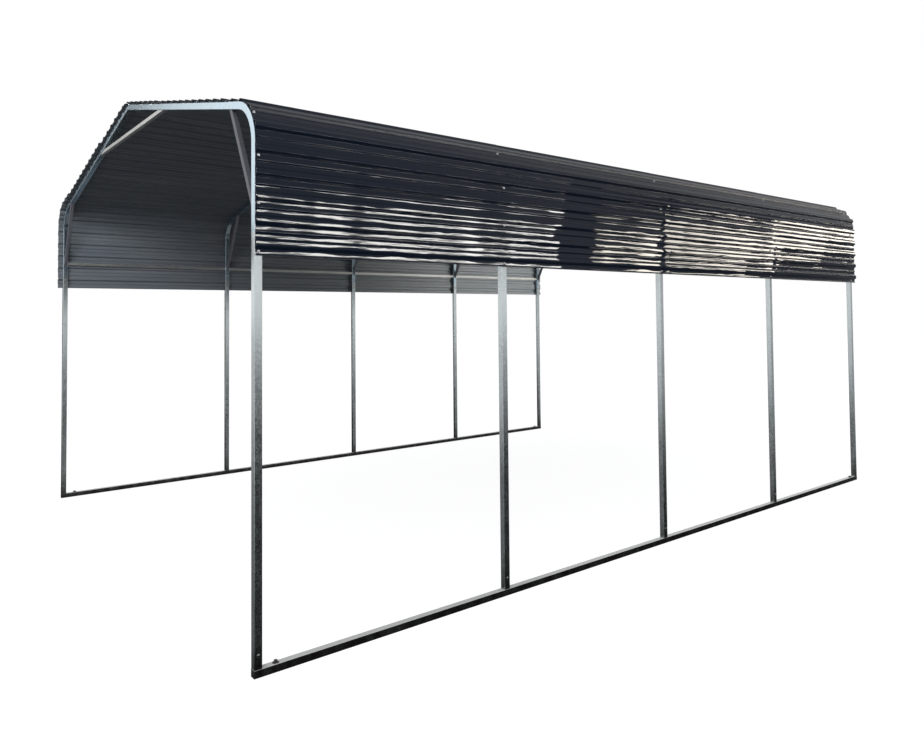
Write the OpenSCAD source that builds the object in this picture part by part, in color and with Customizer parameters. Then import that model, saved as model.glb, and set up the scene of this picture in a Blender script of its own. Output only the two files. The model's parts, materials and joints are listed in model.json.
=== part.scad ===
// Open-sided metal carport: five tube frames on two base rails, under a ribbed
// sheet roof that rolls over both eaves and ends as a skirt along each side.
// X runs across the width, Y along the length (front gable at -Y), Z up.
// The origin is on the ground, in the middle of the plan. All sizes are in mm.

/* [Layout] */
// Distance between neighbouring frames, centre to centre
bay = 1500; // [1000:10:2200]
// Distance between the leg centres of one frame
frame_w = 4270; // [3000:10:6000]
// Height at which the outer face of a leg would meet the top face of the rafter
eave_z = 2595; // [2300:5:3200]
// Slope of the roof in degrees
pitch = 12.6; // [8:0.1:20]
// Outer radius of the bend at the eave
bend_r = 230; // [150:5:320]

/* [Tubes] */
// Width of the square tube of the frames and base rails
tube = 38; // [30:1:60]
// Wall of the frame tube
tube_wall = 1.5; // [1:0.1:3]
// Width of the square tube of the braces and girts
brace = 25; // [20:1:30]
// Wall of the brace tube
brace_wall = 1.2; // [0.8:0.1:2]
// Play all round between a spigot and the tube that it slides into
play = 0.3; // [0.2:0.05:1]
// Length of a spigot inside its tube
spigot = 120; // [60:5:200]

/* [Frames] */
// Height of the joint between a leg and its roof bow
joint_z = 2000; // [1700:5:2050]
// Distance from the middle to the tip of a collar tie
tie_reach = 780; // [500:5:1000]
// Height at which the underside of a knee brace meets its leg
knee_z = 2090; // [2060:5:2150]
// Distance from the outer leg face to the foot of the knee brace on the rafter
knee_reach = 320; // [300:5:420]
// Height of the centre of the side girts
girt_z = 2110; // [1950:5:2200]

/* [Base rails] */
// Place of the joint in each base rail, measured from the middle frame to the rear
splice_y = 850; // [200:10:1300]
// Diameter of an anchor hole in the base rail
anchor_d = 13; // [8:0.5:18]
// Distance from the end frames to the anchor holes, towards the middle
anchor_offset = 90; // [60:5:200]

/* [Roof sheets] */
// Thickness of a sheet
sheet_t = 0.5; // [0.4:0.05:1]
// Distance from rib to rib
rib_pitch = 110; // [90:1:140]
// Height of a rib
rib_h = 15; // [8:0.5:25]
// Width of a rib at its foot
rib_foot = 48; // [40:1:60]
// Width of a rib at its top
rib_top = 24; // [16:1:32]
// Height of the small bead between two ribs
bead_h = 4; // [2:0.5:6]
// Width of the bead at its foot
bead_foot = 16; // [12:1:20]
// Width of the bead at its top
bead_top = 8; // [4:1:10]
// Height of the lower edge of the skirt
skirt_z = 1890; // [1700:5:2100]
// Number of ribs on an eave sheet, from the skirt's lower edge up
eave_ribs = 9; // [8:1:12]
// Number of ribs on each slope of the ridge sheet; the slope sheets fill the rest
ridge_ribs = 6; // [4:1:8]
// Length by which a sheet runs on past the frame at its rear end, over the next sheet
lap_over = 90; // [40:5:150]
// Length by which a sheet starts in front of its frame, under the sheet before it
lap_under = 40; // [20:5:100]
// Distance by which the right eave sheet stops short of the first frame's front face
front_setback = 3; // [0:1:10]
// Distance by which each course of sheets starts ahead of the course to its right
course_step = 10; // [0:1:12]
// Distance by which the sheets run on past the last frame's rear face
rear_overhang = 60; // [5:1:100]
// Gap between a sheet and what it lies on
seat = 0.3; // [0.1:0.05:0.5]
// Gap between two sheets at a lap
lap_gap = 0.1; // [0.05:0.05:0.3]

/* [Hidden] */
bays = 4;
frames = bays + 1;
sides = ["left", "right"];
tube_colour = "silver";
brace_colour = "gainsboro";
sheet_colour = [0.13, 0.14, 0.17];
$fn = 128;
// Extra length with which a cutter passes through a face
cut = 1;
// Space left between the two halves of a bow at the peak
peak_gap = play;

outer_x = frame_w / 2 + tube / 2;
inner_x = outer_x - tube;
frame_len = bays * bay;
ridge_z = eave_z + outer_x * tan(pitch);
bend_angle = 90 - pitch;
tangent = bend_r * tan(bend_angle / 2);
bend_x = outer_x - bend_r;
bend_z = eave_z - tangent;
spigot_w = tube - 2 * tube_wall - 2 * play;

// Lengths along the outside of the roof, from the skirt's lower edge up to the ridge
skirt_len = bend_z - skirt_z;
arc_len = bend_r * bend_angle * PI / 180;
slope_len = outer_x / cos(pitch) - tangent;
half_len = skirt_len + arc_len + slope_len;
// Strip beside the ridge that has no ribs
ridge_flat = rib_pitch / 2;
all_ribs = floor((half_len - ridge_flat) / rib_pitch);
// Ways up the roof at which the slope sheet and the ridge sheet start, each on a shared rib
slope_start = eave_ribs * rib_pitch;
ridge_start = (all_ribs - ridge_ribs) * rib_pitch;
// From the start of a shared rib space to the far foot of its rib
rib_lap = (rib_pitch + rib_foot) / 2;

// Place along Y of a frame, counted from the front
function frame_y(i) = (i - 1) * bay - frame_len / 2;
// Height of a line that runs parallel to the rafter, a distance below its top face
function rafter_z(x, below) = eave_z + (outer_x - x) * tan(pitch) - below / cos(pitch);
// Distance from the middle at which a level line meets such a line
function rafter_x(z, below) = outer_x - (z + below / cos(pitch) - eave_z) / tan(pitch);

// Draws its children, made for the right side, on the side asked for
module on_side(side) {
    mirror([side == "left" ? 1 : 0, 0, 0]) children();
}

// Stands a shape drawn in X and Z upright, with a thickness centred on Y
module upright(thick) {
    rotate([90, 0, 0]) linear_extrude(thick, center = true) children();
}

// Straight square tube that stands on a level, centred on the Z axis
module post(width, wall, height) {
    linear_extrude(height) difference() {
        square(width, center = true);
        square(width - 2 * wall, center = true);
    }
}

// Square tube lying along Y from y0 to y1, resting on a level, centred on the Z axis
module lying_tube(width, wall, y0, y1) {
    translate([0, y1, width / 2]) rotate([90, 0, 0]) post(width, wall, y1 - y0);
}

// One length of base rail, closed at its outer end, with an anchor hole near the end frame
module base_rail(end) {
    tip = frame_len / 2 + tube / 2;
    y0 = end == "front" ? -tip : splice_y;
    y1 = end == "front" ? splice_y : tip;
    anchor_y = (end == "front" ? -1 : 1) * (frame_len / 2 - anchor_offset);
    plate_y = end == "front" ? y0 : y1 - tube_wall;
    color(tube_colour) translate([frame_w / 2, 0, 0]) difference() {
        union() {
            lying_tube(tube, tube_wall, y0, y1);
            translate([-tube / 2, plate_y, 0]) cube([tube, tube_wall, tube]);
            if (end == "rear") splice_spigot();
        }
        translate([0, anchor_y, -cut]) cylinder(d = anchor_d, h = tube + 2 * cut);
    }
}

// Narrowed end of the rear rail, which slides into the front rail up to a shoulder
module splice_spigot() {
    inset = (tube - spigot_w) / 2;
    translate([0, 0, inset]) lying_tube(spigot_w, tube_wall, splice_y - spigot, splice_y + tube_wall);
    lying_tube(tube, inset + tube_wall, splice_y, splice_y + tube_wall);
}

// Stubs on the base rails, over which the legs stand
module leg_stubs() {
    color(tube_colour) for (side = sides, i = [1:frames]) on_side(side)
        translate([frame_w / 2, frame_y(i), tube]) post(spigot_w, tube_wall, spigot);
}

module leg(i) {
    color(tube_colour) translate([frame_w / 2, frame_y(i), tube]) post(tube, tube_wall, joint_z - tube);
}

// Half the frame's gable, filled, with its outline moved inwards from the outer faces of
// the tubes, above a level and to the right of a line
module gable(inset, right_of, above) {
    r = bend_r - inset;
    polygon([
        [right_of, above],
        [outer_x - inset, above],
        [outer_x - inset, bend_z],
        [bend_x + r * cos(bend_angle), bend_z + r * sin(bend_angle)],
        [right_of, rafter_z(right_of, inset)]
    ]);
    translate([bend_x, bend_z]) circle(r);
}

// The bent bar of half a bow, from a level up to the line where it ends at the peak; the
// inset thins it all round
module bow_bar(inset, right_of, foot_z) {
    upright(tube - 2 * inset) difference() {
        gable(inset, right_of, foot_z);
        gable(tube - inset, right_of - cut, foot_z - cut);
    }
}

// Right half of a bow: a bent hollow tube with a narrowed tail that slides into the leg
module bow_half() {
    bore = spigot_w - 2 * tube_wall;
    difference() {
        union() {
            bow_bar(0, peak_gap / 2, joint_z);
            translate([frame_w / 2, 0, joint_z - spigot])
                linear_extrude(spigot) square(spigot_w, center = true);
        }
        bow_bar(tube_wall, peak_gap / 2 - cut, joint_z + tube_wall);
        translate([frame_w / 2, 0, joint_z - spigot - cut])
            linear_extrude(spigot + tube_wall + 2 * cut) square(bore, center = true);
    }
}

module roof_bow(i) {
    color(tube_colour) translate([0, frame_y(i), 0]) for (side = sides) on_side(side) bow_half();
}

// Outline of a collar tie, cut to the slope of the rafters at both ends, a gap below them
module tie_profile(inset, gap) {
    low = rafter_z(tie_reach, tube) + inset;
    high = low + brace - 2 * inset;
    polygon([
        for (p = [[-1, low], [1, low], [1, high], [-1, high]]) [p[0] * rafter_x(p[1], tube + gap), p[1]]
    ]);
}

module collar_ties() {
    color(brace_colour) for (i = [1:frames]) translate([0, frame_y(i), 0]) difference() {
        upright(brace) tie_profile(0, seat);
        upright(brace - 2 * brace_wall) tie_profile(brace_wall, seat - cut);
    }
}

// Outline of a knee brace from the inner leg face up to the underside of the rafter, with a
// gap at both
module knee_profile(inset, gap) {
    foot = [inner_x, knee_z];
    head_x = outer_x - knee_reach;
    head = [head_x, rafter_z(head_x, tube)];
    run = head - foot;
    lean = atan2(run[1], run[0]);
    far = norm(run) + 4 * brace;
    intersection() {
        translate(foot) rotate(lean) translate([-2 * brace, -brace + inset]) square([far, brace - 2 * inset]);
        polygon([
            [0, 0],
            [inner_x - gap, 0],
            [inner_x - gap, rafter_z(inner_x - gap, tube + gap)],
            [0, rafter_z(0, tube + gap)]
        ]);
    }
}

module knee_braces() {
    color(brace_colour) for (i = [1:frames]) translate([0, frame_y(i), 0]) difference() {
        upright(brace) knee_profile(0, seat);
        upright(brace - 2 * brace_wall) knee_profile(brace_wall, seat - cut);
    }
}

// Girts between the tails of the bows, flush with their outer faces
module girts() {
    color(brace_colour) for (i = [1:bays])
        translate([outer_x - brace / 2, 0, girt_z - brace / 2])
            lying_tube(brace, brace_wall, frame_y(i) + tube / 2, frame_y(i + 1) - tube / 2);
}

// Point of the roof's outside, a way up from the skirt's edge and a height above the tubes
function roof_point(u, h) =
    u < skirt_len ? [outer_x + h, skirt_z + u]
    : let (
        a = min(u - skirt_len, arc_len) / arc_len * bend_angle,
        d = max(u - skirt_len - arc_len, 0)
    ) [bend_x + (bend_r + h) * cos(a) - d * cos(pitch), bend_z + (bend_r + h) * sin(a) + d * sin(pitch)];

// Outline of one rib space as [way, height]: half a bead, a rib and half a bead
rib_half = rib_pitch / 2;
rib_points = [
    [0, bead_h],
    [bead_top / 2, bead_h],
    [bead_foot / 2, 0],
    [rib_half - rib_foot / 2, 0],
    [rib_half - rib_top / 2, rib_h],
    [rib_half + rib_top / 2, rib_h],
    [rib_half + rib_foot / 2, 0],
    [rib_pitch - bead_foot / 2, 0],
    [rib_pitch - bead_top / 2, bead_h],
    [rib_pitch, bead_h]
];
rib_turns = len(rib_points) - 1;

// Height of the ribbed outline at a way up the roof; the strip at the ridge is flat
function rib_height(u) = u > half_len - ridge_flat ? 0 : lookup(u % rib_pitch, rib_points);

// Ways up the roof at which the outline of a sheet turns, with middle points in the bend
function rib_ways(u0, u1) = concat(
    [u0],
    [
        for (k = [floor(u0 / rib_pitch):floor(u1 / rib_pitch)], j = [0:rib_turns - 1])
            let (
                here = k * rib_pitch + rib_points[j][0],
                next = k * rib_pitch + rib_points[j + 1][0],
                bent = here > skirt_len - rib_pitch && here < skirt_len + arc_len
            )
            for (u = bent ? [here, (here + next) / 2] : [here]) if (u > u0 && u < u1) u
    ],
    [u1]
);

// Layers at a lap: a slope sheet lies on the eave sheet and the ridge sheet on both, and the
// rear end of a sheet lies on both layers of the next bay
layer = sheet_t + lap_gap;
bay_rise = 2 * layer;

// End view of a sheet between two ways up the roof
module sheet_profile(u0, u1, level) {
    ways = rib_ways(u0, u1);
    under = seat + level * layer;
    over = under + sheet_t;
    polygon(concat(
        [for (u = ways) roof_point(u, rib_height(u) + under)],
        [for (i = [len(ways) - 1:-1:0]) roof_point(ways[i], rib_height(ways[i]) + over)]
    ));
}

// A row of points followed by its mirror image across the ridge
function both_slopes(points) = concat(
    points,
    [for (i = [len(points) - 1:-1:0]) [-points[i][0], points[i][1]]]
);
// Underside or top of the ridge sheet on the right, up to the bend at the ridge
function ridge_side(ways, h) = concat(
    [for (u = ways) roof_point(u, rib_height(u) + h)],
    [[0, ridge_z + h / cos(pitch)]]
);

// End view of the ridge sheet: both slopes down from the ridge
module ridge_profile(u0, level) {
    ways = rib_ways(u0, half_len - ridge_flat);
    under = seat + level * layer;
    top = both_slopes(ridge_side(ways, under + sheet_t));
    polygon(concat(
        both_slopes(ridge_side(ways, under)),
        [for (i = [len(top) - 1:-1:0]) top[i]]
    ));
}

// Carries an end view of the roof along one bay, to its laps or past the end frames. The
// courses are counted from the right eave to the left one. The sheet lies on its own frame
// in front and rises towards the rear, outwards and up.
module along_bay(i, course, out, up) {
    front = frame_y(1) - tube / 2 + front_setback - course * course_step;
    y0 = i == 1 ? front : frame_y(i) - lap_under;
    y1 = i == bays ? frame_y(frames) + tube / 2 + rear_overhang : frame_y(i + 1) + lap_over;
    run = y1 - y0;
    rise = i == bays ? 0 : bay_rise;
    turn = [atan(up * rise / run), 0, -atan(out * rise / run)];
    hinge = [outer_x, y0, eave_z];
    color(sheet_colour) translate(hinge) rotate(turn) translate([-hinge[0], run, -hinge[2]])
        rotate([90, 0, 0]) linear_extrude(run) children();
}

module eave_sheet(side, i) {
    along_bay(i, side == "right" ? 0 : 4, 1, 1) sheet_profile(0, slope_start + rib_lap, 0);
}

module slope_sheet(side, i) {
    along_bay(i, side == "right" ? 1 : 3, sin(pitch), cos(pitch))
        sheet_profile(slope_start, ridge_start + rib_lap, 1);
}

module ridge_sheet(i) {
    along_bay(i, 2, 0, 1 / cos(pitch)) ridge_profile(ridge_start, 2);
}

for (s = sides, e = ["front", "rear"]) {
    on_side(s) base_rail(e);
}
for (s = sides, i = [1:frames]) {
    on_side(s) leg(i);
}
for (i = [1:frames]) {
    roof_bow(i);
}
leg_stubs();
collar_ties();
for (s = sides) {
    on_side(s) knee_braces();
    on_side(s) girts();
}
for (s = sides, i = [1:bays]) {
    on_side(s) eave_sheet(s, i);
    on_side(s) slope_sheet(s, i);
}
for (i = [1:bays]) {
    ridge_sheet(i);
}
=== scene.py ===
"""Looks of an open-sided metal carport: galvanised tube frames under a dark ribbed roof.

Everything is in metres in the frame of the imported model: X across the width, Y along the
length with the front gable at -Y, Z up from the ground.
"""
import json
import math

import bmesh
import bpy
from mathutils import Matrix, Vector, noise


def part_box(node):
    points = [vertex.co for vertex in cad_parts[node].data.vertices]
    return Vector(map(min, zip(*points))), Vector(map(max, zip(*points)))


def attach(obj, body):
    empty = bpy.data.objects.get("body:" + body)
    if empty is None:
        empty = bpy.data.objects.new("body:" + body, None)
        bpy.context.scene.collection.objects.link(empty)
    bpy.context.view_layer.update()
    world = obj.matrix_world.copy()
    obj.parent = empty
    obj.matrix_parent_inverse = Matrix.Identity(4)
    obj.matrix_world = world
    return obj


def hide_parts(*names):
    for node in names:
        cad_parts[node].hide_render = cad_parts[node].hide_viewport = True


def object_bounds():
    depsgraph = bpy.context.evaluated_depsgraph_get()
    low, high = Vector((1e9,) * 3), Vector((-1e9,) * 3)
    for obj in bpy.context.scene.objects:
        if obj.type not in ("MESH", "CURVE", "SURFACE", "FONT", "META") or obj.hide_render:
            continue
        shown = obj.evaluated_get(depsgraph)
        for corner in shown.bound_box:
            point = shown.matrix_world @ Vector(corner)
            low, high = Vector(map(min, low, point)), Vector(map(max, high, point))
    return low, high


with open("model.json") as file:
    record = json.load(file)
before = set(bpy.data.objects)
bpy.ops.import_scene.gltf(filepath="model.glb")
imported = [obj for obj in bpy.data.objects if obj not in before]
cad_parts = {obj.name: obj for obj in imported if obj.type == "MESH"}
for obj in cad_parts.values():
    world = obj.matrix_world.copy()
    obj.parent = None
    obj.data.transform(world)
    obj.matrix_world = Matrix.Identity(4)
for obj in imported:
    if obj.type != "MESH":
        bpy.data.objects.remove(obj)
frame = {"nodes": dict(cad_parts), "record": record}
cad_low, cad_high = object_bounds()

SIDES = {"left": -1, "right": 1}
FRAMES = range(1, 6)
BAYS = range(1, 5)
AXIS_Y, AXIS_Z = Vector((0, 1, 0)), Vector((0, 0, 1))

# Tubes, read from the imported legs, rails, girts and bows
leg_low, leg_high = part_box("right_leg_1")
bow_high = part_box("roof_bow_1")[1]
girt_low, girt_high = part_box("right_girts")
rail_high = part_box("right_base_rail_front")[1]
TUBE = leg_high.x - leg_low.x
TUBE_WALL = 0.0015
TUBE_CORNER = 0.003
BRACE = girt_high.x - girt_low.x
BRACE_WALL = 0.0012
BRACE_CORNER = 0.0022
CORNER_STEPS = 3
NEAR_PARALLEL = 0.9
SMOOTH_BELOW = math.radians(40)
LEG_X = (leg_low.x + leg_high.x) / 2
OUTER_X = bow_high.x
INNER_X = OUTER_X - TUBE
JOINT_Z = leg_high.z
FRAME_Y = [sum(c.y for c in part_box(f"right_leg_{i}")) / 2 for i in FRAMES]

# Roof line, with the slope and bend of the bows
PITCH = math.radians(12.6)
BEND_R = 0.230
RIDGE_Z = bow_high.z
EAVE_Z = RIDGE_Z - OUTER_X * math.tan(PITCH)
BEND_ANGLE = math.pi / 2 - PITCH
TANGENT = BEND_R * math.tan(BEND_ANGLE / 2)
BEND_X = OUTER_X - BEND_R
BEND_Z = EAVE_Z - TANGENT
PEAK_GAP = 0.0003
BEND_STEPS = 14
WELD = 1e-6

# Roof sheets
SKIRT_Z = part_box("right_eave_sheet_4")[0].z
SHEET_T = 0.0005
SEAT = 0.0003
LAYER = 0.0006
RIB_PITCH = 0.110
RIB_H = 0.015
RIB_FOOT = 0.048
RIB_TOP = 0.024
BEAD_H = 0.004
BEAD_FOOT = 0.016
BEAD_TOP = 0.008
FOLD = 0.0025
EAVE_RIBS = 9
RIDGE_RIBS = 6
SKIRT_LEN = BEND_Z - SKIRT_Z
ARC_LEN = BEND_R * BEND_ANGLE
HALF_LEN = SKIRT_LEN + ARC_LEN + OUTER_X / math.cos(PITCH) - TANGENT
RIDGE_FLAT = RIB_PITCH / 2
ALL_RIBS = math.floor((HALF_LEN - RIDGE_FLAT) / RIB_PITCH)
SLOPE_START = EAVE_RIBS * RIB_PITCH
RIDGE_START = (ALL_RIBS - RIDGE_RIBS) * RIB_PITCH
RIB_LAP = (RIB_PITCH + RIB_FOOT) / 2
BAY_RISE = 2 * LAYER
EAVE_LEVEL, SLOPE_LEVEL, RIDGE_LEVEL = range(3)
RIDGE_SNAP = 0.002
RIDGE_WELD = 0.0008

# Meshing of the sheets: steps in a fold, cuts across the bend and along the length
FOLD_STEPS = 2
BEND_CUTS = 2
LENGTH_CUTS = 20
SHORTEST_CUT = 0.008

# Waves that roll forming leaves, and how far from a frame the screws hold a sheet flat
WAVE_H = 0.0006
WAVES_ACROSS = 16.0
WAVES_ALONG = 2.1
HOLD_REACH = 0.35
SEED_PER_BAY = 3.7
SEED_PER_SIDE = 11.0
SHEET_SEED = "sheet_seed"

# Photograph's frame and the camera that fits it
IMAGE_W, IMAGE_H = 924, 756
SENSOR = 36.0
FOCAL_PX = 734.25
HORIZON_CENTRE_PX = 291.4
EYE = Vector((5.3258, -4.3631, 1.6118))
EYE_YAW, EYE_PITCH, EYE_ROLL = (math.radians(a) for a in (51.24, 1.839, 0.515))


def add_camera():
    forward = Vector((
        -math.sin(EYE_YAW) * math.cos(EYE_PITCH),
        math.cos(EYE_YAW) * math.cos(EYE_PITCH),
        math.sin(EYE_PITCH),
    ))
    right = forward.cross(AXIS_Z).normalized()
    down = forward.cross(right)
    across = right * math.cos(EYE_ROLL) + down * math.sin(EYE_ROLL)
    up = right * math.sin(EYE_ROLL) - down * math.cos(EYE_ROLL)
    data = bpy.data.cameras.new("photo_camera")
    data.sensor_width = SENSOR
    data.lens = FOCAL_PX * SENSOR / IMAGE_W
    data.shift_y = (HORIZON_CENTRE_PX - IMAGE_H / 2) / IMAGE_W
    camera = bpy.data.objects.new("photo_camera", data)
    turn = Matrix((across, up, -forward)).transposed()
    camera.matrix_world = Matrix.Translation(EYE) @ turn.to_4x4()
    bpy.context.scene.collection.objects.link(camera)
    bpy.context.scene.camera = camera


# Materials


def new_group(name, inputs, outputs):
    """Shader node group with float inputs {name: default} and named float outputs."""
    group = bpy.data.node_groups.new(name, "ShaderNodeTree")
    for label, default in inputs.items():
        socket = group.interface.new_socket(label, in_out="INPUT", socket_type="NodeSocketFloat")
        socket.default_value = default
    for label in outputs:
        group.interface.new_socket(label, in_out="OUTPUT", socket_type="NodeSocketFloat")
    return group, group.nodes.new("NodeGroupInput"), group.nodes.new("NodeGroupOutput")


def add_node(tree, kind, **settings):
    node = tree.nodes.new("ShaderNode" + kind)
    for key, value in settings.items():
        setattr(node, key, value)
    return node


def set_inputs(node, **values):
    for key, value in values.items():
        node.inputs[key.replace("_", " ")].default_value = value


def math_node(tree, operation, a, b):
    """Math node whose two inputs are numbers or sockets."""
    node = add_node(tree, "Math", operation=operation)
    for socket, value in zip(node.inputs, (a, b)):
        if isinstance(value, (int, float)):
            socket.default_value = value
        else:
            tree.links.new(value, socket)
    return node.outputs[0]


def map_range(tree, value, low, high, to_low, to_high):
    node = add_node(tree, "MapRange")
    tree.links.new(value, node.inputs["Value"])
    set_inputs(node, From_Min=low, From_Max=high, To_Min=to_low, To_Max=to_high)
    return node.outputs[0]


def object_noise(tree, stretch, scale, detail, seed=None):
    """Noise on Object coordinates, with a stretch on each axis and a seed of its own."""
    place = add_node(tree, "TexCoord")
    mapping = add_node(tree, "Mapping")
    mapping.inputs["Scale"].default_value = stretch
    tree.links.new(place.outputs["Object"], mapping.inputs["Vector"])
    texture = add_node(tree, "TexNoise", noise_dimensions="4D")
    set_inputs(texture, Scale=scale, Detail=detail, Roughness=0.55)
    tree.links.new(mapping.outputs[0], texture.inputs["Vector"])
    if seed:
        tree.links.new(seed, texture.inputs["W"])
    return texture.outputs["Fac"]


def object_axis(tree, axis):
    """Object coordinate along one axis."""
    place = add_node(tree, "TexCoord")
    parts = add_node(tree, "SeparateXYZ")
    tree.links.new(place.outputs["Object"], parts.inputs[0])
    return parts.outputs[axis]


def mix_colours(tree, factor, a, b):
    node = add_node(tree, "Mix", data_type="RGBA")
    tree.links.new(factor, node.inputs["Factor"])
    for label, value in (("A", a), ("B", b)):
        socket = [s for s in node.inputs if s.name == label and s.type == "RGBA"][0]
        if isinstance(value, tuple):
            socket.default_value = (*value, 1)
        else:
            tree.links.new(value, socket)
    return [s for s in node.outputs if s.type == "RGBA"][0]


def spangle_group():
    """Zinc crystals of a galvanised face: a patchy shade, a roughness and a faint relief."""
    tree, given, out = new_group(
        "zinc_spangle",
        {"Crystal Scale": 90.0, "Contrast": 0.2, "Gloss": 0.2},
        ("Shade", "Roughness", "Height"),
    )
    place = add_node(tree, "TexCoord")
    cells = add_node(tree, "TexVoronoi")
    tree.links.new(place.outputs["Object"], cells.inputs["Vector"])
    tree.links.new(given.outputs["Crystal Scale"], cells.inputs["Scale"])
    tone = add_node(tree, "SeparateColor")
    tree.links.new(cells.outputs["Color"], tone.inputs[0])
    smear = object_noise(tree, (1, 1, 0.35), 14.0, 3.0)
    dents = object_noise(tree, (1, 1, 0.35), 30.0, 1.0)
    grain = math_node(tree, "ADD", math_node(tree, "MULTIPLY", tone.outputs[0], 0.6), smear)
    centred = math_node(tree, "SUBTRACT", grain, 0.8)
    swing = math_node(tree, "MULTIPLY", centred, given.outputs["Contrast"])
    tree.links.new(math_node(tree, "ADD", swing, 1.0), out.inputs["Shade"])
    patchy = map_range(tree, grain, 0.4, 1.2, 0.8, 1.3)
    tree.links.new(math_node(tree, "MULTIPLY", patchy, given.outputs["Gloss"]), out.inputs["Roughness"])
    tree.links.new(dents, out.inputs["Height"])
    return tree


def soil_group():
    """Mask of the splashed and soiled zone above the ground, with a ragged upper edge."""
    tree, given, out = new_group("ground_soil", {"Reach": 0.2}, ("Mask",))
    height = math_node(tree, "DIVIDE", object_axis(tree, "Z"), given.outputs["Reach"])
    splash = map_range(tree, object_noise(tree, (1, 1, 0.4), 18.0, 4.0), 0, 1, -0.5, 0.5)
    ragged = math_node(tree, "ADD", height, splash)
    tree.links.new(map_range(tree, ragged, 0.0, 1.0, 1.0, 0.0), out.inputs["Mask"])
    return tree


def streak_group():
    """Long streaks along the ribs of one sheet: a mask of dull patches, its rolled waves and its belly."""
    tree, given, out = new_group(
        "rib_streaks",
        {"Wave Size": 1.0, "Belly": 0.0},
        ("Dull", "Height"),
    )
    sheet = add_node(tree, "Attribute", attribute_name=SHEET_SEED).outputs["Fac"]
    dull = object_noise(tree, (1.0, 0.12, 1.0), 9.0, 4.0, sheet)
    tree.links.new(map_range(tree, dull, 0.35, 0.75, 0.0, 1.0), out.inputs["Dull"])
    waves = object_noise(tree, (1.0, 0.22, 1.0), 15.0, 1.5, sheet)
    belly = object_noise(tree, (1.0, 0.5, 1.0), 2.0, 1.0, sheet)
    rolled = math_node(tree, "MULTIPLY", waves, given.outputs["Wave Size"])
    slack = math_node(tree, "MULTIPLY", belly, given.outputs["Belly"])
    tree.links.new(math_node(tree, "ADD", rolled, slack), out.inputs["Height"])
    return tree


def place_group(tree, group, **values):
    node = add_node(tree, "Group", node_tree=group)
    set_inputs(node, **values)
    return node


def new_material(name):
    material = bpy.data.materials.new(name)
    material.use_nodes = True
    return material, material.node_tree, material.node_tree.nodes["Principled BSDF"]


def add_bump(tree, shader, height, distance):
    bump = add_node(tree, "Bump")
    set_inputs(bump, Distance=distance, Strength=1.0)
    tree.links.new(height, bump.inputs["Height"])
    tree.links.new(bump.outputs["Normal"], shader.inputs["Normal"])


SPANGLE = spangle_group()
SOIL = soil_group()
STREAKS = streak_group()

# Zinc: soil near the ground, dust on a level top face, relief of the crystals
SOIL_REACH = 0.22
SOIL_COLOUR = (0.09, 0.085, 0.08)
DUST_COLOUR = (0.58, 0.58, 0.56)
DUST_FROM = 0.002
DUST_FULL = 0.0005
ZINC_RELIEF = 0.0001

# Coats of the roof: clean and dull colours, relief, and the heights where dust begins and is full
COAT_CLEAN = (0.004, 0.0075, 0.016)
COAT_DULL = (0.008, 0.011, 0.018)
COAT_RELIEF = 0.0014
COAT_DUST_Z = (BEND_Z + 0.03, BEND_Z + 0.14)
BACKING_CLEAN = (0.037, 0.044, 0.052)
BACKING_DULL = (0.053, 0.059, 0.066)
BACKING_RELIEF = 0.001
RUBBER_DARK = (0.008, 0.008, 0.009)
RUBBER_WORN = (0.03, 0.03, 0.03)


def zinc_material(name, colour, contrast, gloss, metallic=1.0, dust_z=None):
    """Galvanised steel with crystals, soiled near the ground; dust may lie on a level top face."""
    material, tree, shader = new_material(name)
    set_inputs(shader, Metallic=metallic)
    spangle = place_group(tree, SPANGLE, Contrast=contrast, Gloss=gloss)
    soil = place_group(tree, SOIL, Reach=SOIL_REACH)
    zinc = add_node(tree, "VectorMath", operation="SCALE")
    zinc.inputs[0].default_value = colour
    tree.links.new(spangle.outputs["Shade"], zinc.inputs["Scale"])
    soiled = mix_colours(tree, soil.outputs["Mask"], zinc.outputs[0], SOIL_COLOUR)
    if dust_z:
        height = object_axis(tree, "Z")
        dust = map_range(tree, height, dust_z - DUST_FROM, dust_z - DUST_FULL, 0.0, 1.0)
        soiled = mix_colours(tree, dust, soiled, DUST_COLOUR)
        tree.links.new(math_node(tree, "SUBTRACT", metallic, dust), shader.inputs["Metallic"])
    tree.links.new(soiled, shader.inputs["Base Color"])
    tree.links.new(spangle.outputs["Roughness"], shader.inputs["Roughness"])
    add_bump(tree, shader, spangle.outputs["Height"], ZINC_RELIEF)
    return material


def roof_paint_material():
    """Dark coat on the outside of the sheets: gloss on the skirts, dusty and dull above the bend."""
    material, tree, shader = new_material("roof_gloss_coat")
    set_inputs(shader, Specular_IOR_Level=0.13)
    streaks = place_group(tree, STREAKS, Wave_Size=1.0, Belly=3.0)
    colour = mix_colours(tree, streaks.outputs["Dull"], COAT_CLEAN, COAT_DULL)
    tree.links.new(colour, shader.inputs["Base Color"])
    gloss = map_range(tree, streaks.outputs["Dull"], 0, 1, 0.01, 0.035)
    dust = map_range(tree, object_axis(tree, "Z"), *COAT_DUST_Z, 0.0, 0.34)
    tree.links.new(math_node(tree, "MAXIMUM", gloss, dust), shader.inputs["Roughness"])
    add_bump(tree, shader, streaks.outputs["Height"], COAT_RELIEF)
    return material


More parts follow.
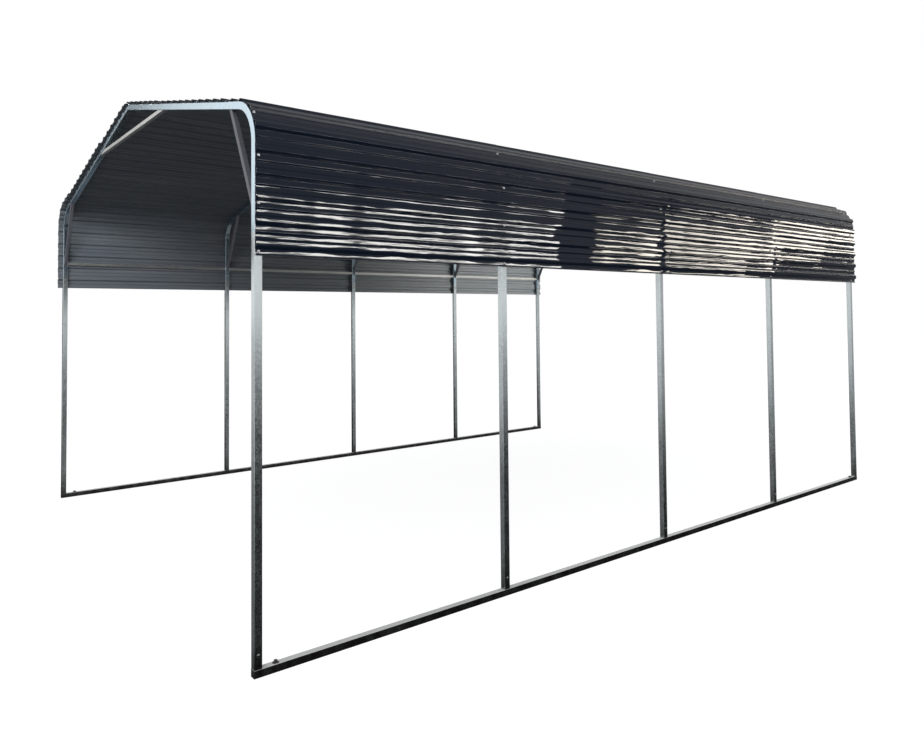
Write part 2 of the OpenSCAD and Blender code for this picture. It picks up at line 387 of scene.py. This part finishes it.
def roof_backing_material():
    """Duller backing coat on the inside of the sheets."""
    material, tree, shader = new_material("roof_backing_coat")
    set_inputs(shader, Specular_IOR_Level=0.3)
    streaks = place_group(tree, STREAKS, Wave_Size=0.7)
    colour = mix_colours(tree, streaks.outputs["Dull"], BACKING_CLEAN, BACKING_DULL)
    tree.links.new(colour, shader.inputs["Base Color"])
    gloss = map_range(tree, streaks.outputs["Dull"], 0, 1, 0.42, 0.56)
    tree.links.new(gloss, shader.inputs["Roughness"])
    add_bump(tree, shader, streaks.outputs["Height"], BACKING_RELIEF)
    return material


def washer_material():
    material, tree, shader = new_material("washer_rubber")
    grain = object_noise(tree, (1, 1, 1), 400.0, 3.0)
    tree.links.new(map_range(tree, grain, 0.3, 0.7, 0.5, 0.75), shader.inputs["Roughness"])
    colour = mix_colours(tree, grain, RUBBER_DARK, RUBBER_WORN)
    tree.links.new(colour, shader.inputs["Base Color"])
    return material


FRAME_ZINC = zinc_material("frame_galvanised", (0.70, 0.76, 0.78), 0.22, 0.20)
# Bows: galvanised zinc whose colour has a bluer tint painted in, a painted reflection of the blue sky
BOW_ZINC_SKY_TINTED = zinc_material("bow_galvanised_painted_sky_tint", (0.64, 0.79, 0.89), 0.22, 0.20)
RAIL_ZINC = zinc_material("rail_galvanised", (0.70, 0.76, 0.78), 0.22, 0.20, dust_z=rail_high.z)
BRACE_ZINC = zinc_material("brace_galvanised", (0.80, 0.80, 0.77), 0.10, 0.34)
GIRT_ZINC = zinc_material("girt_galvanised", (0.80, 0.80, 0.77), 0.10, 0.34, 0.94)
KNEE_ZINC = zinc_material("knee_dull_galvanised", (0.14, 0.14, 0.16), 0.30, 0.42, 0.4)
SCREW_ZINC = zinc_material("screw_plating", (0.74, 0.75, 0.76), 0.1, 0.2)
ROOF_PAINT = roof_paint_material()
ROOF_BACKING = roof_backing_material()
WASHER_RUBBER = washer_material()


# Making pieces


def finish_piece(bm, name, materials, nodes, wall=0.0, inner_material=0):
    """Turns a bmesh into a piece that rides on the carport and stands for CAD nodes."""
    mesh = bpy.data.meshes.new(name)
    bm.to_mesh(mesh)
    bm.free()
    for material in materials:
        mesh.materials.append(material)
    mesh.shade_smooth()
    mesh.set_sharp_from_angle(angle=SMOOTH_BELOW)
    piece = bpy.data.objects.new(name, mesh)
    bpy.context.scene.collection.objects.link(piece)
    if wall:
        solid = piece.modifiers.new("wall", "SOLIDIFY")
        solid.thickness = wall
        solid.offset = -1
        solid.material_offset = inner_material
        solid.material_offset_rim = 2 * inner_material
    weighted = piece.modifiers.new("even_shading", "WEIGHTED_NORMAL")
    weighted.keep_sharp = True
    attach(piece, "root")
    if nodes:
        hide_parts(*nodes)
    return piece


def tube_ring(bm, width, corner, centre, along):
    """Rounded square outline of a tube, square to a direction; returns its edges."""
    flat = AXIS_Z if abs(along.dot(AXIS_Y)) > NEAR_PARALLEL else AXIS_Y
    side = flat.cross(along).normalized()
    turn = Matrix((side, along.cross(side), along)).transposed().to_4x4()
    place = Matrix.Translation(centre) @ turn @ Matrix.Rotation(math.pi / 4, 4, "Z")
    made = bmesh.ops.create_circle(bm, segments=4, radius=width / math.sqrt(2), matrix=place)
    rounded = bmesh.ops.bevel(
        bm,
        geom=made["verts"],
        offset=corner,
        segments=CORNER_STEPS,
        profile=0.5,
        affect="VERTICES",
        material=-1,
    )
    return list({e for v in rounded["verts"] for e in v.link_edges})


def pull_ring(bm, ring, shift):
    """Extrudes an outline along a shift; returns the new outline's edges."""
    made = bmesh.ops.extrude_edge_only(bm, edges=ring)["geom"]
    verts = [g for g in made if isinstance(g, bmesh.types.BMVert)]
    bmesh.ops.translate(bm, verts=verts, vec=shift)
    moved = set(verts)
    return [g for g in made if isinstance(g, bmesh.types.BMEdge) and moved.issuperset(g.verts)]


def cut_off(bm, point, outward):
    """Cuts everything away on the outward side of a plane."""
    everything = bm.verts[:] + bm.edges[:] + bm.faces[:]
    bmesh.ops.bisect_plane(bm, geom=everything, plane_co=point, plane_no=outward, clear_outer=True)


def add_tube(bm, width, corner, start, end):
    """Straight square tube, open at both ends; returns the edges of its last outline."""
    along = (end - start).normalized()
    return pull_ring(bm, tube_ring(bm, width, corner, start, along), end - start)


def face_outwards(bm):
    bmesh.ops.recalc_face_normals(bm, faces=bm.faces[:])


def join_half(bm, half):
    """Adds one half's mesh to a piece and frees the half."""
    shape = bpy.data.meshes.new("half")
    half.to_mesh(shape)
    half.free()
    bm.from_mesh(shape)
    bpy.data.meshes.remove(shape)


def make_legs():
    for side, sign in SIDES.items():
        for i, y in zip(FRAMES, FRAME_Y):
            bm = bmesh.new()
            foot = Vector((sign * LEG_X, y, leg_low.z))
            add_tube(bm, TUBE, TUBE_CORNER, foot, foot + AXIS_Z * (leg_high.z - leg_low.z))
            face_outwards(bm)
            node = f"{side}_leg_{i}"
            finish_piece(bm, node + "_tube", [FRAME_ZINC], [node], TUBE_WALL)


def make_base_rails():
    for side, sign in SIDES.items():
        for end in ("front", "rear"):
            node = f"{side}_base_rail_{end}"
            low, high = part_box(node)
            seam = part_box(f"{side}_base_rail_front")[1].y
            bm = bmesh.new()
            height = (low.z + high.z) / 2
            tip = Vector((sign * LEG_X, low.y if end == "front" else high.y, height))
            ring = add_tube(bm, TUBE, TUBE_CORNER, Vector((tip.x, seam, height)), tip)
            bmesh.ops.edgeloop_fill(bm, edges=ring)
            face_outwards(bm)
            finish_piece(bm, node + "_tube", [RAIL_ZINC], [node], TUBE_WALL)


def add_bow_half(bm, sign, y):
    """Half a bow: tail, bend and rafter, cut upright at the peak."""
    tail = Vector((sign * LEG_X, y, JOINT_Z))
    ring = add_tube(bm, TUBE, TUBE_CORNER, tail, Vector((tail.x, y, BEND_Z)))
    made = bmesh.ops.spin(
        bm,
        geom=ring + list({v for e in ring for v in e.verts}),
        cent=(sign * BEND_X, y, BEND_Z),
        axis=(0, -sign, 0),
        angle=BEND_ANGLE,
        steps=BEND_STEPS,
    )
    ring = [g for g in made["geom_last"] if isinstance(g, bmesh.types.BMEdge)]
    rafter = Vector((-sign * math.cos(PITCH), 0, math.sin(PITCH)))
    pull_ring(bm, ring, rafter * OUTER_X)


def make_roof_bows():
    for i, y in zip(FRAMES, FRAME_Y):
        bm = bmesh.new()
        for sign in SIDES.values():
            half = bmesh.new()
            add_bow_half(half, sign, y)
            cut_off(half, (sign * PEAK_GAP / 2, 0, 0), (-sign, 0, 0))
            bmesh.ops.remove_doubles(half, verts=half.verts[:], dist=WELD)
            face_outwards(half)
            join_half(bm, half)
        node = f"roof_bow_{i}"
        finish_piece(bm, node + "_tube", [BOW_ZINC_SKY_TINTED], [node], TUBE_WALL)


def rafter_z(x, below):
    """Height of a line parallel to the rafter, a distance below its top face."""
    return EAVE_Z + (OUTER_X - abs(x)) * math.tan(PITCH) - below / math.cos(PITCH)


def cut_under_rafter(bm, sign):
    """Cuts braces off along the underside of one side's rafters."""
    under = Vector((sign * OUTER_X, 0, rafter_z(OUTER_X, TUBE + SEAT)))
    cut_off(bm, under, (sign * math.sin(PITCH), 0, math.cos(PITCH)))


def roof_point(u, h):
    """Point (x, z) of the roof's right half: a way up from the skirt's edge, a height above the tubes."""
    if u < SKIRT_LEN:
        return OUTER_X + h, SKIRT_Z + u
    angle = min(u - SKIRT_LEN, ARC_LEN) / BEND_R
    run = max(u - SKIRT_LEN - ARC_LEN, 0.0)
    x = BEND_X + (BEND_R + h) * math.cos(angle) - run * math.cos(PITCH)
    z = BEND_Z + (BEND_R + h) * math.sin(angle) + run * math.sin(PITCH)
    return x, z


def roof_normal(u):
    angle = min(max(u - SKIRT_LEN, 0.0), ARC_LEN) / BEND_R
    return math.cos(angle), math.sin(angle)


RIB_CORNERS = (
    (BEAD_TOP / 2, BEAD_H),
    (BEAD_FOOT / 2, 0.0),
    ((RIB_PITCH - RIB_FOOT) / 2, 0.0),
    ((RIB_PITCH - RIB_TOP) / 2, RIB_H),
    ((RIB_PITCH + RIB_TOP) / 2, RIB_H),
    ((RIB_PITCH + RIB_FOOT) / 2, 0.0),
    (RIB_PITCH - BEAD_FOOT / 2, 0.0),
    (RIB_PITCH - BEAD_TOP / 2, BEAD_H),
)


def lies_on_bend(edge):
    """Whether an edge across a flat sheet lies at least partly on the bend."""
    ways = [v.co.x for v in edge.verts]
    return SKIRT_LEN < max(ways) and min(ways) < SKIRT_LEN + ARC_LEN


def rolled_sheet(u0, u1, y0, y1, flat_from):
    """Flat ribbed sheet with X as the way up the roof and Z as the height, its folds rounded."""
    bm = bmesh.new()
    last = None
    for k in range(math.floor(u0 / RIB_PITCH) - 1, math.ceil(u1 / RIB_PITCH) + 1):
        for du, h in RIB_CORNERS:
            u = k * RIB_PITCH + du
            if u > flat_from:
                continue
            vert = bm.verts.new((u, y0, h))
            if last:
                bm.edges.new((last, vert))
            last = vert
    if u1 > flat_from:
        for u in (flat_from + BEAD_FOOT / 2, u1):
            vert = bm.verts.new((u, y0, 0.0))
            bm.edges.new((last, vert))
            last = vert
    folds = [v for v in bm.verts if len(v.link_edges) == 2]
    bmesh.ops.bevel(
        bm,
        geom=folds,
        offset=FOLD,
        segments=FOLD_STEPS,
        profile=0.5,
        affect="VERTICES",
        material=-1,
    )
    bent = [e for e in bm.edges if e.calc_length() > SHORTEST_CUT and lies_on_bend(e)]
    bmesh.ops.subdivide_edges(bm, edges=bent, cuts=BEND_CUTS)
    pull_ring(bm, bm.edges[:], (0, y1 - y0, 0))
    lengthwise = [e for e in bm.edges if abs(e.verts[0].co.y - e.verts[1].co.y) > (y1 - y0) / 2]
    bmesh.ops.subdivide_edges(bm, edges=lengthwise, cuts=LENGTH_CUTS, use_grid_fill=True)
    for edge_u, outward in ((u0, -1), (u1, 1)):
        cut_off(bm, (edge_u, 0, 0), (outward, 0, 0))
    return bm


def frame_hold(y):
    """0 on a frame, where screws hold a sheet flat, up to 1 in the middle of a bay."""
    nearest = min(abs(y - f) for f in FRAME_Y)
    return min(nearest / HOLD_REACH, 1.0) ** 2


def sheet_wave(u, y, seed):
    """Slight waves that roll forming leaves in a sheet between the frames."""
    return WAVE_H * frame_hold(y) * noise.noise(Vector((u * WAVES_ACROSS, y * WAVES_ALONG, seed)))


def bend_over_roof(bm, sign, level, rise, y0, y1, seed):
    """Bends a flat ribbed sheet over the roof line, at its layer and with its rise to the rear."""
    sheet_seed = bm.verts.layers.float.new(SHEET_SEED)
    for vert in bm.verts:
        vert[sheet_seed] = seed
        u, y, h = vert.co
        lift = SEAT + level * LAYER + SHEET_T + rise * (y - y0) / (y1 - y0)
        x, z = roof_point(u, h + lift + sheet_wave(u, y, seed))
        vert.co = (sign * x, y, z)
    bm.normal_update()
    top = max(bm.faces, key=lambda f: f.calc_center_median().z)
    if top.normal.z < 0:
        bmesh.ops.reverse_faces(bm, faces=bm.faces[:])


SHEET_MATERIALS = [ROOF_PAINT, ROOF_BACKING, SCREW_ZINC]

# Groups of pieces that cards and lamps are linked to
ROOF_PIECES = bpy.data.collections.new("roof_pieces")
EAVE_PIECES = {side: bpy.data.collections.new(f"{side}_eave_pieces") for side in SIDES}
REAR_LIT = {side: bpy.data.collections.new(f"{side}_rear_lit") for side in SIDES}
for side, lit in REAR_LIT.items():
    lit.children.link(EAVE_PIECES[side])


def finish_sheet(bm, node):
    """A sheet with its coat outside, its backing inside and bare steel on its cut edges."""
    piece = finish_piece(bm, node + "_ribbed", SHEET_MATERIALS, [node], SHEET_T, 1)
    ROOF_PIECES.objects.link(piece)
    for side, pieces in EAVE_PIECES.items():
        if node.startswith(f"{side}_eave"):
            pieces.objects.link(piece)


def make_sheet(node, sign, u0, u1, level, rise, seed):
    low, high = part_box(node)
    bm = rolled_sheet(u0, u1, low.y, high.y, HALF_LEN)
    bend_over_roof(bm, sign, level, rise, low.y, high.y, seed)
    finish_sheet(bm, node)


def make_ridge_sheet(node, rise, seed):
    low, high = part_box(node)
    bm = bmesh.new()
    for sign in SIDES.values():
        half = rolled_sheet(RIDGE_START, HALF_LEN, low.y, high.y, HALF_LEN - RIDGE_FLAT)
        bend_over_roof(half, sign, RIDGE_LEVEL, rise, low.y, high.y, seed)
        join_half(bm, half)
    for vert in bm.verts:
        if abs(vert.co.x) < RIDGE_SNAP:
            vert.co.x = 0.0
    bmesh.ops.remove_doubles(bm, verts=bm.verts[:], dist=RIDGE_WELD)
    finish_sheet(bm, node)


def make_roof():
    for i in BAYS:
        rise = 0.0 if i == BAYS[-1] else BAY_RISE
        for side, sign in SIDES.items():
            seed = SEED_PER_BAY * i + SEED_PER_SIDE * sign
            eave = f"{side}_eave_sheet_{i}"
            make_sheet(eave, sign, 0.0, SLOPE_START + RIB_LAP, EAVE_LEVEL, rise, seed)
            slope = f"{side}_slope_sheet_{i}"
            make_sheet(slope, sign, SLOPE_START, RIDGE_START + RIB_LAP, SLOPE_LEVEL, rise, seed)
        make_ridge_sheet(f"ridge_sheet_{i}", rise, SEED_PER_BAY * i)


def make_collar_ties():
    low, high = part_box("collar_ties")
    level = (low.z + high.z) / 2
    bm = bmesh.new()
    for y in FRAME_Y:
        add_tube(bm, BRACE, BRACE_CORNER, Vector((low.x, y, level)), Vector((high.x, y, level)))
    for sign in SIDES.values():
        cut_under_rafter(bm, sign)
    face_outwards(bm)
    finish_piece(bm, "collar_ties_tube", [BRACE_ZINC], ["collar_ties"], BRACE_WALL)


KNEE_Z = 2.090
KNEE_REACH = 0.320


def knee_line(sign):
    """Foot of a knee brace's underside on its leg, its way up to the rafter and its upper side."""
    head_x = OUTER_X - KNEE_REACH
    foot = Vector((sign * INNER_X, 0, KNEE_Z))
    way = Vector((sign * head_x, 0, rafter_z(head_x, TUBE))) - foot
    return foot, way, Vector((sign * way.z, 0, -sign * way.x)).normalized()


def make_knee_braces():
    for side, sign in SIDES.items():
        bm = bmesh.new()
        foot, way, upper = knee_line(sign)
        spare = way.normalized() * 3 * BRACE
        for y in FRAME_Y:
            start = foot + upper * BRACE / 2 + AXIS_Y * y
            add_tube(bm, BRACE, BRACE_CORNER, start - spare, start + way + spare)
        cut_off(bm, (sign * (INNER_X - SEAT), 0, 0), (sign, 0, 0))
        cut_under_rafter(bm, sign)
        face_outwards(bm)
        node = f"{side}_knee_braces"
        finish_piece(bm, node + "_tube", [KNEE_ZINC], [node], BRACE_WALL)


def make_girts():
    for side in SIDES:
        node = f"{side}_girts"
        low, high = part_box(node)
        bm = bmesh.new()
        for y0, y1 in zip(FRAME_Y, FRAME_Y[1:]):
            start = Vector(((low.x + high.x) / 2, y0 + TUBE / 2, (low.z + high.z) / 2))
            add_tube(bm, BRACE, BRACE_CORNER, start, start + AXIS_Y * (y1 - y0 - TUBE))
        face_outwards(bm)
        girts = finish_piece(bm, node + "_tube", [GIRT_ZINC], [node], BRACE_WALL)
        REAR_LIT[side].objects.link(girts)


# Screws and anchors


def add_screw(bm, point, out, across):
    """Hexagon screw with a flange and a rubber washer, seated on a face; across is its size over flats."""
    turn = out.to_track_quat("Z", "Y").to_matrix().to_4x4()
    place = Matrix.Translation(point) @ turn
    # Washer, flange and head: (corners, foot radius, top radius, depth, height of middle, material)
    layers = (
        (12, across * 0.95, across * 0.95, 0.0012, 0.0006, 1),
        (12, across * 0.88, across * 0.70, 0.0012, 0.0018, 0),
        (6, across * 0.58, across * 0.54, across * 0.55, 0.0024 + across * 0.27, 0),
    )
    for segments, foot_r, top_r, depth, height, material in layers:
        made = bmesh.ops.create_cone(
            bm,
            cap_ends=True,
            segments=segments,
            radius1=foot_r,
            radius2=top_r,
            depth=depth,
            matrix=place @ Matrix.Translation((0, 0, height)),
        )
        for face in {f for v in made["verts"] for f in v.link_faces}:
            face.material_index = material


SCREW = 0.008
ANCHOR_HEAD = 0.017
FOOT_SCREW_Z = leg_low.z + 0.062
JOINT_SCREWS_Z = (JOINT_Z - 0.04, JOINT_Z + 0.03)
SCREW_U0 = (BEAD_FOOT + RIB_PITCH - RIB_FOOT) / 4
SCREW_STEP = 2 * RIB_PITCH


def roof_top(u, i):
    """Height of the uppermost sheet above the tubes on a frame, a way up the roof."""
    level = sum(u >= start for start in (SLOPE_START, RIDGE_START))
    rise = BAY_RISE if FRAMES[0] < i < FRAMES[-1] else 0.0
    return SEAT + level * LAYER + SHEET_T + rise


def make_sheet_screws():
    """Rows of screws along every frame, in the flat beside every second rib."""
    for i, y in zip(FRAMES, FRAME_Y):
        bm = bmesh.new()
        for sign in SIDES.values():
            u = SCREW_U0
            while u < HALF_LEN - RIB_PITCH:
                x, z = roof_point(u, roof_top(u, i))
                nx, nz = roof_normal(u)
                add_screw(bm, Vector((sign * x, y, z)), Vector((sign * nx, 0, nz)), SCREW)
                u += SCREW_STEP
        finish_piece(bm, f"sheet_screws_{i}", [SCREW_ZINC, WASHER_RUBBER], [])


def make_frame_screws():
    """Screws that hold the legs on their stubs and the bows in the legs."""
    bm = bmesh.new()
    for sign in SIDES.values():
        for y in FRAME_Y:
            for z in (FOOT_SCREW_Z, *JOINT_SCREWS_Z):
                add_screw(bm, Vector((sign * INNER_X, y, z)), Vector((-sign, 0, 0)), SCREW)
            add_screw(bm, Vector((sign * OUTER_X, y, FOOT_SCREW_Z)), Vector((sign, 0, 0)), SCREW)
    finish_piece(bm, "frame_screws", [SCREW_ZINC, WASHER_RUBBER], [])


def make_anchors():
    """Anchor bolt heads over the holes in the base rails."""
    bm = bmesh.new()
    mount = next(m for m in frame["record"]["mounts"] if m["name"] == "anchor_holes")
    half_x = mount["dims"]["spacing_x_mm"] / 2000
    half_y = mount["dims"]["spacing_y_mm"] / 2000
    for x in (-half_x, half_x):
        for y in (-half_y, half_y):
            add_screw(bm, Vector((x, y, rail_high.z)), AXIS_Z, ANCHOR_HEAD)
    finish_piece(bm, "anchor_bolts", [SCREW_ZINC, WASHER_RUBBER], [])


# Stage


def seen_white(tree):
    """1 for the camera and for mirrored or transmitted rays, else 0."""
    path = add_node(tree, "LightPath")
    seen = path.outputs["Is Camera Ray"]
    for label in ("Is Glossy Ray", "Is Transmission Ray"):
        seen = math_node(tree, "MAXIMUM", seen, path.outputs[label])
    return seen


def mix_shaders(tree, factor, a, b):
    mix = add_node(tree, "MixShader")
    tree.links.new(factor, mix.inputs["Fac"])
    tree.links.new(a.outputs[0], mix.inputs[1])
    tree.links.new(b.outputs[0], mix.inputs[2])
    return mix


def add_world():
    world = bpy.data.worlds.new("studio")
    world.use_nodes = True
    tree = world.node_tree
    tree.nodes.clear()
    soft = add_node(tree, "Background")
    set_inputs(soft, Color=(0.92, 0.95, 1.0, 1), Strength=0.75)
    white = add_node(tree, "Background")
    set_inputs(white, Color=(1, 1, 1, 1), Strength=1.0)
    out = add_node(tree, "OutputWorld")
    tree.links.new(mix_shaders(tree, seen_white(tree), soft, white).outputs[0], out.inputs["Surface"])
    bpy.context.scene.world = world


def stage_card(name, size_x, size_y, place, material):
    bm = bmesh.new()
    bmesh.ops.create_grid(bm, x_segments=1, y_segments=1, size=0.5)
    bmesh.ops.scale(bm, verts=bm.verts[:], vec=(size_x, size_y, 1))
    bmesh.ops.transform(bm, verts=bm.verts[:], matrix=place)
    mesh = bpy.data.meshes.new(name)
    bm.to_mesh(mesh)
    bm.free()
    mesh.materials.append(material)
    card = bpy.data.objects.new(name, mesh)
    bpy.context.scene.collection.objects.link(card)
    return card


def side_card(name, x, y_range, z_range, material):
    """Upright card beside the carport, facing it."""
    middle = Matrix.Translation((x, sum(y_range) / 2, sum(z_range) / 2))
    upright = Matrix.Rotation(math.pi / 2, 4, "Y")
    return stage_card(name, z_range[1] - z_range[0], y_range[1] - y_range[0], middle @ upright, material)


def floor_material():
    """Pale floor that shows white and keeps a faint shadow."""
    material, tree, shader = new_material("pale_floor")
    set_inputs(shader, Base_Color=(0.85, 0.85, 0.85, 1), Roughness=1.0, Specular_IOR_Level=0.0)
    glow = add_node(tree, "Emission")
    set_inputs(glow, Strength=0.9)
    tint = add_node(tree, "BsdfDiffuse")
    set_inputs(tint, Color=(0.2, 0.2, 0.2, 1))
    shown = add_node(tree, "AddShader")
    tree.links.new(glow.outputs[0], shown.inputs[0])
    tree.links.new(tint.outputs[0], shown.inputs[1])
    floor = mix_shaders(tree, seen_white(tree), shader, shown)
    tree.links.new(floor.outputs[0], tree.nodes["Material Output"].inputs["Surface"])
    return material


def glow_material(name, strength):
    """Black material that only glows, for cards that metal and gloss coat mirror."""
    material, tree, shader = new_material(name)
    set_inputs(shader, Base_Color=(0, 0, 0, 1), Specular_IOR_Level=0.0, Emission_Strength=strength)
    return material, tree, shader


def ground_flag_material():
    """Ground that metal mirrors: dark beside the carport, paler inside, in front, behind and far away."""
    material, tree, shader = glow_material("ground_flag", 1.0)
    place = add_node(tree, "TexCoord")
    far = add_node(tree, "VectorMath", operation="LENGTH")
    tree.links.new(place.outputs["Object"], far.inputs[0])
    shade = map_range(tree, far.outputs["Value"], 6.0, 60.0, 0.0, 1.0)
    across = math_node(tree, "ABSOLUTE", object_axis(tree, "X"), 0.0)
    along = object_axis(tree, "Y")
    inside = map_range(tree, across, OUTER_X - 0.1, OUTER_X + 0.1, 0.17, 0.0)
    rear = map_range(tree, along, 1.0, 9.0, 0.0, 0.5)
    front = map_range(tree, along, -7.5, -3.0, 0.85, 0.0)
    for zone in (inside, rear, front):
        shade = math_node(tree, "MAXIMUM", shade, zone)
    colour = mix_colours(tree, shade, (0.02, 0.02, 0.02), (0.6, 0.6, 0.6))
    tree.links.new(colour, shader.inputs["Emission Color"])
    return material


def backdrop_material():
    """White beside the front and greyer to the rear, as a background that metal mirrors."""
    material, tree, shader = glow_material("right_backdrop", 1.0)
    shade = map_range(tree, object_axis(tree, "Y"), BACKDROP_Y[0], BACKDROP_GREY_Y, 0.0, 1.0)
    colour = mix_colours(tree, shade, (1, 1, 1), (0.38, 0.38, 0.39))
    tree.links.new(colour, shader.inputs["Emission Color"])
    return material


def card_material(name, colour, strength, grain=None, cover=0.0):
    """Glowing card; with a grain it is broken into level dashes, as light between trees is."""
    material, tree, shader = glow_material(name, strength)
    set_inputs(shader, Emission_Color=(*colour, 1))
    if grain:
        gaps = object_noise(tree, (1, 0.45, 1), grain, 2.0)
        dashes = map_range(tree, gaps, 0.47 - cover, 0.56 - cover, 0.15, 1.0)
        tree.links.new(mix_colours(tree, dashes, (0, 0, 0), colour), shader.inputs["Emission Color"])
    return material


def only_in_gloss(card):
    """A card that shapes reflections and neither lights nor shades anything."""
    card.visible_camera = False
    card.visible_diffuse = False
    card.visible_transmission = False
    card.visible_shadow = False


# Bright gaps that the gloss coat mirrors: (y range, z range, colour, brightness, grain, cover)
CARD_X = 12.0
CLEAR_GAP = (1.0, 0.98, 0.94)
WARM_GAP = (1.0, 0.93, 0.82)
ROOF_CARDS = (
    ((1.0, 7.6), (2.85, 3.66), CLEAR_GAP, 74.0, 4.2, 0.025),
    ((7.6, 9.3), (2.85, 3.75), CLEAR_GAP, 62.0, 3.0, 0.05),
    ((10.6, 13.4), (2.95, 3.75), WARM_GAP, 46.0, 2.4, 0.04),
    ((13.8, 20.2), (3.25, 4.3), WARM_GAP, 28.0, 1.9, 0.11),
    ((13.8, 18.0), (2.75, 3.0), WARM_GAP, 28.0, 1.9, 0.08),
    ((20.2, 23.6), (3.75, 4.92), WARM_GAP, 22.0, 1.5, 0.18),
    ((23.6, 28.0), (4.1, 5.12), WARM_GAP, 21.0, 1.5, 0.13),
)
FLAG_Y = (-6.6, -2.0)
FLAG_Z = (0.0, 8.0)
BACKDROP_X = 30.0
BACKDROP_Y = (30.0, 95.0)
BACKDROP_Z = (0.0, 20.0)
BACKDROP_GREY_Y = 38.0
FLOOR_SIZE = 90.0
GROUND_FLAG_SIZE = 240.0
GROUND_FLAG_Z = 0.002

# Lamp in front of the right corner: (place, aim, size, power)
FRONT_SOFTBOX = ((8.0, -9.0, 7.0), (0.0, 0.0, 1.5), (6.0, 4.0), 500.0)

# Lamps for the inside of the opposite skirt, one at each end:
# (y aimed at, height, power, spread in degrees, colour)
LOW_LIGHT_X = 3.0
LOW_LIGHT_AIM_Z = 1.8
LOW_LIGHT_SIZE = (3.5, 1.4)
LOW_LIGHTS = {
    "front": (-2.6, 3.9, 150.0, 80.0, (1.0, 0.98, 0.97)),
    "rear": (2.6, 2.2, 165.0, 50.0, (1.0, 0.95, 0.84)),
}


def add_roof_cards():
    for sign in SIDES.values():
        for end in (-1, 1):
            for k, (y_range, z_range, colour, strength, grain, cover) in enumerate(ROOF_CARDS):
                name = f"roof_card_{sign}_{end}_{k}"
                ys = sorted(end * y for y in y_range)
                glow = card_material(name, colour, strength, grain, cover)
                card = side_card(name, sign * CARD_X, ys, z_range, glow)
                only_in_gloss(card)
                card.light_linking.receiver_collection = ROOF_PIECES


def add_softbox(name, spot, target, size, power):
    """Soft area light with its longer side level; it lights and isn't seen in gloss."""
    data = bpy.data.lights.new(name, "AREA")
    data.shape = "RECTANGLE"
    data.size, data.size_y = size
    data.energy = power
    light = bpy.data.objects.new(name, data)
    aim = (Vector(spot) - Vector(target)).to_track_quat("Z", "Y").to_matrix().to_4x4()
    light.matrix_world = Matrix.Translation(spot) @ aim
    light.visible_camera = False
    light.visible_glossy = False
    bpy.context.scene.collection.objects.link(light)
    return light


def add_low_lights():
    """Lamps that reach the inside of the skirts and, from the rear, the girts."""
    for side, sign in SIDES.items():
        other = "left" if sign > 0 else "right"
        for end, (reach_y, height, power, spread, colour) in LOW_LIGHTS.items():
            spot = (sign * LOW_LIGHT_X, 2.0 * reach_y, height)
            target = (-sign * OUTER_X, reach_y, LOW_LIGHT_AIM_Z)
            light = add_softbox(f"{side}_{end}_softbox", spot, target, LOW_LIGHT_SIZE, power)
            light.data.spread = math.radians(spread)
            light.data.color = colour
            lit = EAVE_PIECES if end == "front" else REAR_LIT
            light.light_linking.receiver_collection = lit[other]


def add_stage():
    on_ground = Matrix.Translation((0, 0, cad_low.z))
    stage_card("floor", FLOOR_SIZE, FLOOR_SIZE, on_ground, floor_material())
    over_ground = on_ground @ Matrix.Translation((0, 0, GROUND_FLAG_Z))
    mirrored = ground_flag_material()
    only_in_gloss(stage_card("ground_flag", GROUND_FLAG_SIZE, GROUND_FLAG_SIZE, over_ground, mirrored))
    dark = card_material("left_flag", (0.02, 0.02, 0.025), 1.0)
    only_in_gloss(side_card("left_flag", -CARD_X, FLAG_Y, FLAG_Z, dark))
    only_in_gloss(side_card("right_backdrop", BACKDROP_X, BACKDROP_Y, BACKDROP_Z, backdrop_material()))
    add_roof_cards()
    add_softbox("front_softbox", *FRONT_SOFTBOX)
    add_low_lights()


bpy.context.scene.view_settings.view_transform = "Standard"
stub_materials = frame["nodes"]["leg_stubs"].data.materials
stub_materials.clear()
stub_materials.append(FRAME_ZINC)
make_base_rails()
make_legs()
make_roof_bows()
make_collar_ties()
make_knee_braces()
make_girts()
make_roof()
make_sheet_screws()
make_frame_screws()
make_anchors()
add_stage()
add_world()
add_camera()
